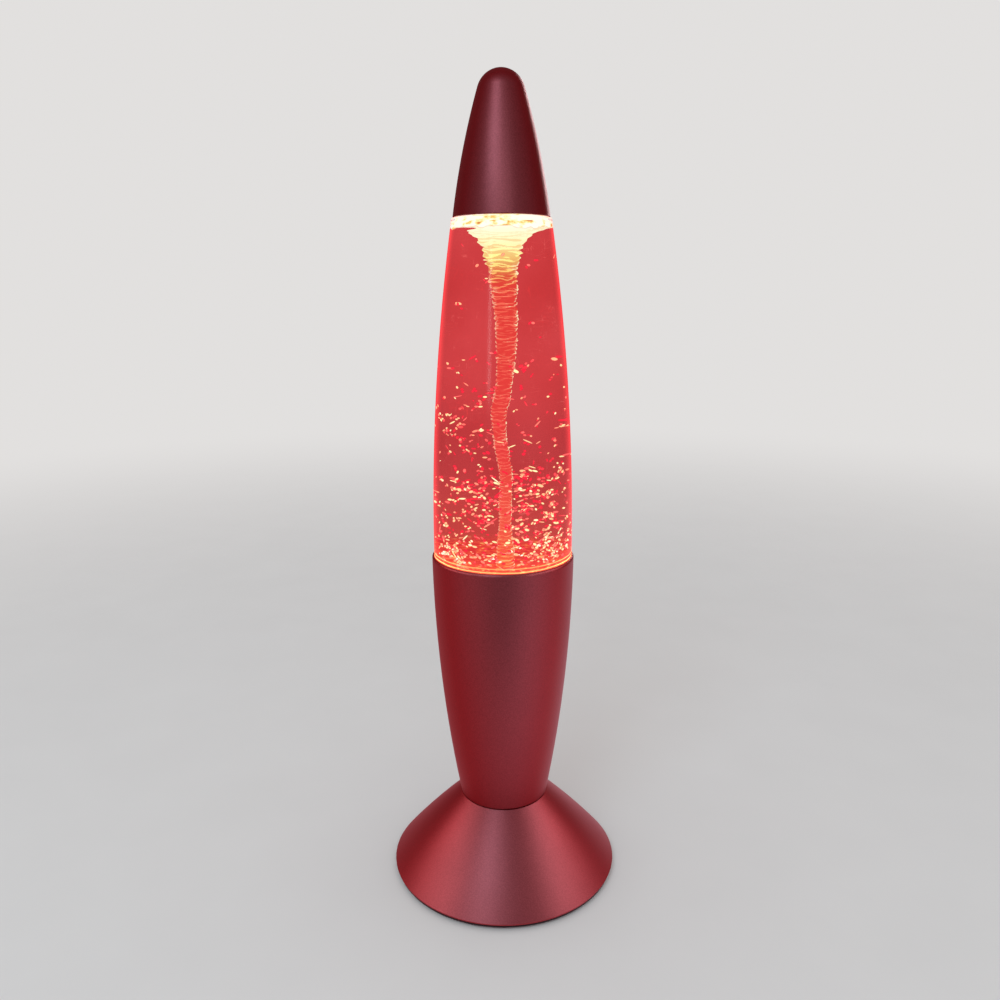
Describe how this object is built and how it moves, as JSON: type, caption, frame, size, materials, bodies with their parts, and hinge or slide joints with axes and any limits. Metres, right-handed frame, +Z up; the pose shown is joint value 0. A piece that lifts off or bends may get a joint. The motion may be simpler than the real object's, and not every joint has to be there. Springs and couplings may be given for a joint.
{
  "type": "tornado lamp",
  "caption": "Table lamp with a clear bottle of water stirred into a glowing vortex by a motor and magnets, on a tapered casing and battery foot, with a lift-off pointed cap.",
  "frame": {"origin": "on the table under the lamp's axis, centre of the foot's underside", "axes": "+Z up along the lamp's axis, -Y towards the front, rocker switch on the +Y side"},
  "size_m": [0.098, 0.098, 0.33],
  "materials": {
    "lamp_plastic": "satin",
    "dark_plastic": "matte",
    "black_plastic": "satin",
    "white_plastic": "matte",
    "soft_rubber": "matte",
    "zinc_steel": "satin",
    "brass": "satin",
    "magnet": "satin",
    "copper_winding": "satin",
    "circuit_board": "satin",
    "led_lens": "gloss",
    "cell_jacket": "gloss",
    "clear_plastic": "gloss",
    "lit_water": "gloss",
    "red_sleeve": "satin",
    "black_sleeve": "satin"
  },
  "bodies": {
    "stand": {"foot_shell": "lamp_plastic", "base_plate": "dark_plastic", "rubber_feet": "soft_rubber", "base_screws": "zinc_steel", "aa_cells": "cell_jacket", "battery_springs": "zinc_steel", "battery_contacts": "zinc_steel", "switch_housing": "black_plastic", "switch_terminals": "brass", "casing": "lamp_plastic", "casing_screws": "zinc_steel", "collar_seal": "soft_rubber", "chassis": "dark_plastic", "motor_can": "zinc_steel", "motor_end_cap": "white_plastic", "motor_bushes": "brass", "motor_terminals": "brass", "motor_brushes": "brass", "motor_magnet_ring": "magnet", "motor_screws": "zinc_steel", "led_board": "circuit_board", "leds": "led_lens", "board_components": "black_plastic", "board_screws": "zinc_steel", "bottle": "clear_plastic", "bottle_screws": "zinc_steel", "stopper": "white_plastic", "stopper_seal": "soft_rubber", "impeller_pin": "zinc_steel", "thrust_washer": "white_plastic", "impeller_retainer": "white_plastic", "red_wires": "red_sleeve", "black_wires": "black_sleeve"},
    "motor_rotor": {"motor_shaft": "zinc_steel", "motor_commutator": "brass", "motor_armature": "copper_winding", "magnet_carrier": "white_plastic", "drive_magnets": "magnet"},
    "impeller": {"impeller": "white_plastic", "impeller_magnets": "magnet"},
    "water": {"water": "lit_water"},
    "rocker": {"switch_rocker": "black_plastic"},
    "cap": {"top_cap": "lamp_plastic"},
    "battery_door": {"battery_door": "dark_plastic"}
  },
  "joints": [
    {"name": "water_swirl", "type": "hinge", "parent": "stand", "child": "water", "pos_m": [0, 0, 0.19], "axis": [0, 0, 1], "continuous": true},
    {"name": "motor_spin", "type": "hinge", "parent": "stand", "child": "motor_rotor", "pos_m": [0, 0, 0.085], "axis": [0, 0, 1], "continuous": true},
    {"name": "impeller_spin", "type": "hinge", "parent": "stand", "child": "impeller", "pos_m": [0, 0, 0.104], "axis": [0, 0, 1], "continuous": true},
    {"name": "power_rocker", "type": "hinge", "parent": "stand", "child": "rocker", "pos_m": [0, 0.03678, 0.01678], "axis": [1, 0, 0], "range_deg": [-16, 0]},
    {"name": "cap_lift", "type": "slide", "parent": "stand", "child": "cap", "axis": [0, 0, 1], "range_m": [0, 0.06]},
    {"name": "door_hinge", "type": "hinge", "parent": "stand", "child": "battery_door", "pos_m": [-0.0268, 0, 0.0017], "axis": [0, 1, 0], "range_deg": [0, 70]}
  ],
  "couplings": [
    {"joint": "motor_spin", "follows": "water_swirl", "ratio": 3},
    {"joint": "impeller_spin", "follows": "water_swirl", "ratio": 3}
  ]
}
